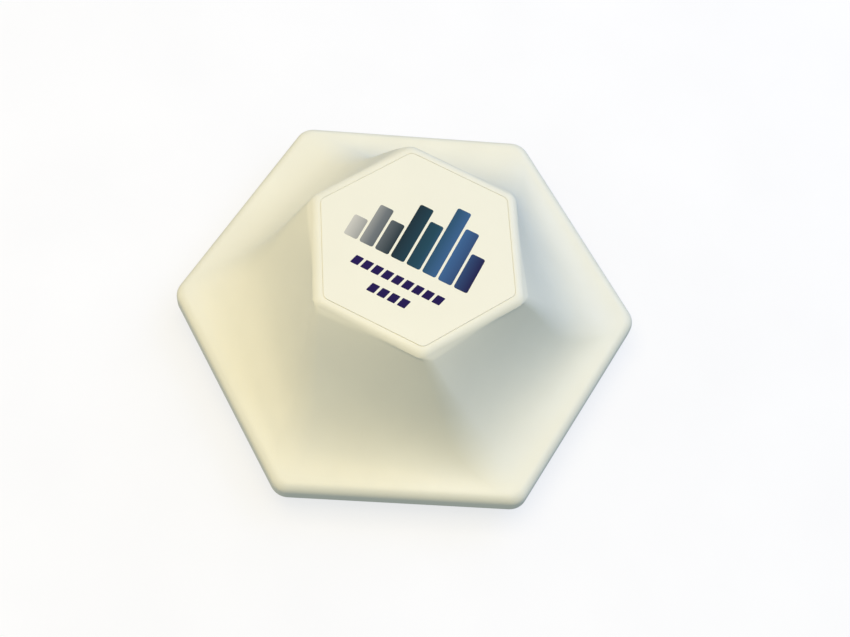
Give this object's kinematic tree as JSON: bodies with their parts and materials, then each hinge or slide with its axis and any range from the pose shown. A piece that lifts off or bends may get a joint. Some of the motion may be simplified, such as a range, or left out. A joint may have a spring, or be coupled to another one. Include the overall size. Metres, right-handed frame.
{
  "type": "directional antenna",
  "caption": "Directional 2.4 GHz antenna in a twisted hexagonal radome, with a crossed dipole over a reflector and a threaded coaxial plug at the back.",
  "frame": {"origin": "centre of the back face, which is the middle of the four bracket inserts at their mouths", "axes": "+Z is boresight, out of the front; +X points at a corner of the rim's hexagon, and +Y at the middle of one of its flats"},
  "size_m": [0.1974, 0.1732, 0.075],
  "materials": {
    "radome_plastic": "satin",
    "label_film": "satin",
    "plate_plastic": "satin",
    "gasket_rubber": "matte",
    "steel": "satin",
    "aluminium": "satin",
    "white_nylon": "satin",
    "circuit_board": "satin",
    "copper": "satin",
    "solder": "gloss",
    "insulator_white": "satin",
    "gold_plating": "gloss",
    "brass": "satin",
    "seal_rubber": "matte",
    "grey_foam": "matte"
  },
  "bodies": {
    "antenna": {"radome": "radome_plastic", "front_label": "label_film", "rim_gasket": "gasket_rubber", "foam_pad": "grey_foam", "back_plate": "plate_plastic", "reflector": "aluminium", "radiator_board": "circuit_board", "top_copper": "copper", "bottom_copper": "copper", "director": "aluminium", "coax_jacket": "copper", "coax_dielectric": "insulator_white", "centre_conductor": "gold_plating", "solder_joints": "solder", "connector_body": "gold_plating", "connector_insulator": "insulator_white", "connector_seal": "seal_rubber", "retaining_ring": "brass", "flange_gasket": "gasket_rubber", "perimeter_screws": "steel", "bracket_inserts": "brass", "stack_screws": "steel", "lower_posts": "white_nylon", "upper_posts": "white_nylon", "director_screws": "white_nylon", "flange_screws": "steel", "flange_nuts": "steel"},
    "coupling_nut": {"coupling_nut": "gold_plating"}
  },
  "joints": [
    {"name": "coupling_nut_spin", "type": "hinge", "parent": "antenna", "child": "coupling_nut", "pos_m": [0, 0, -0.0088], "axis": [0, 0, 1], "continuous": true}
  ]
}
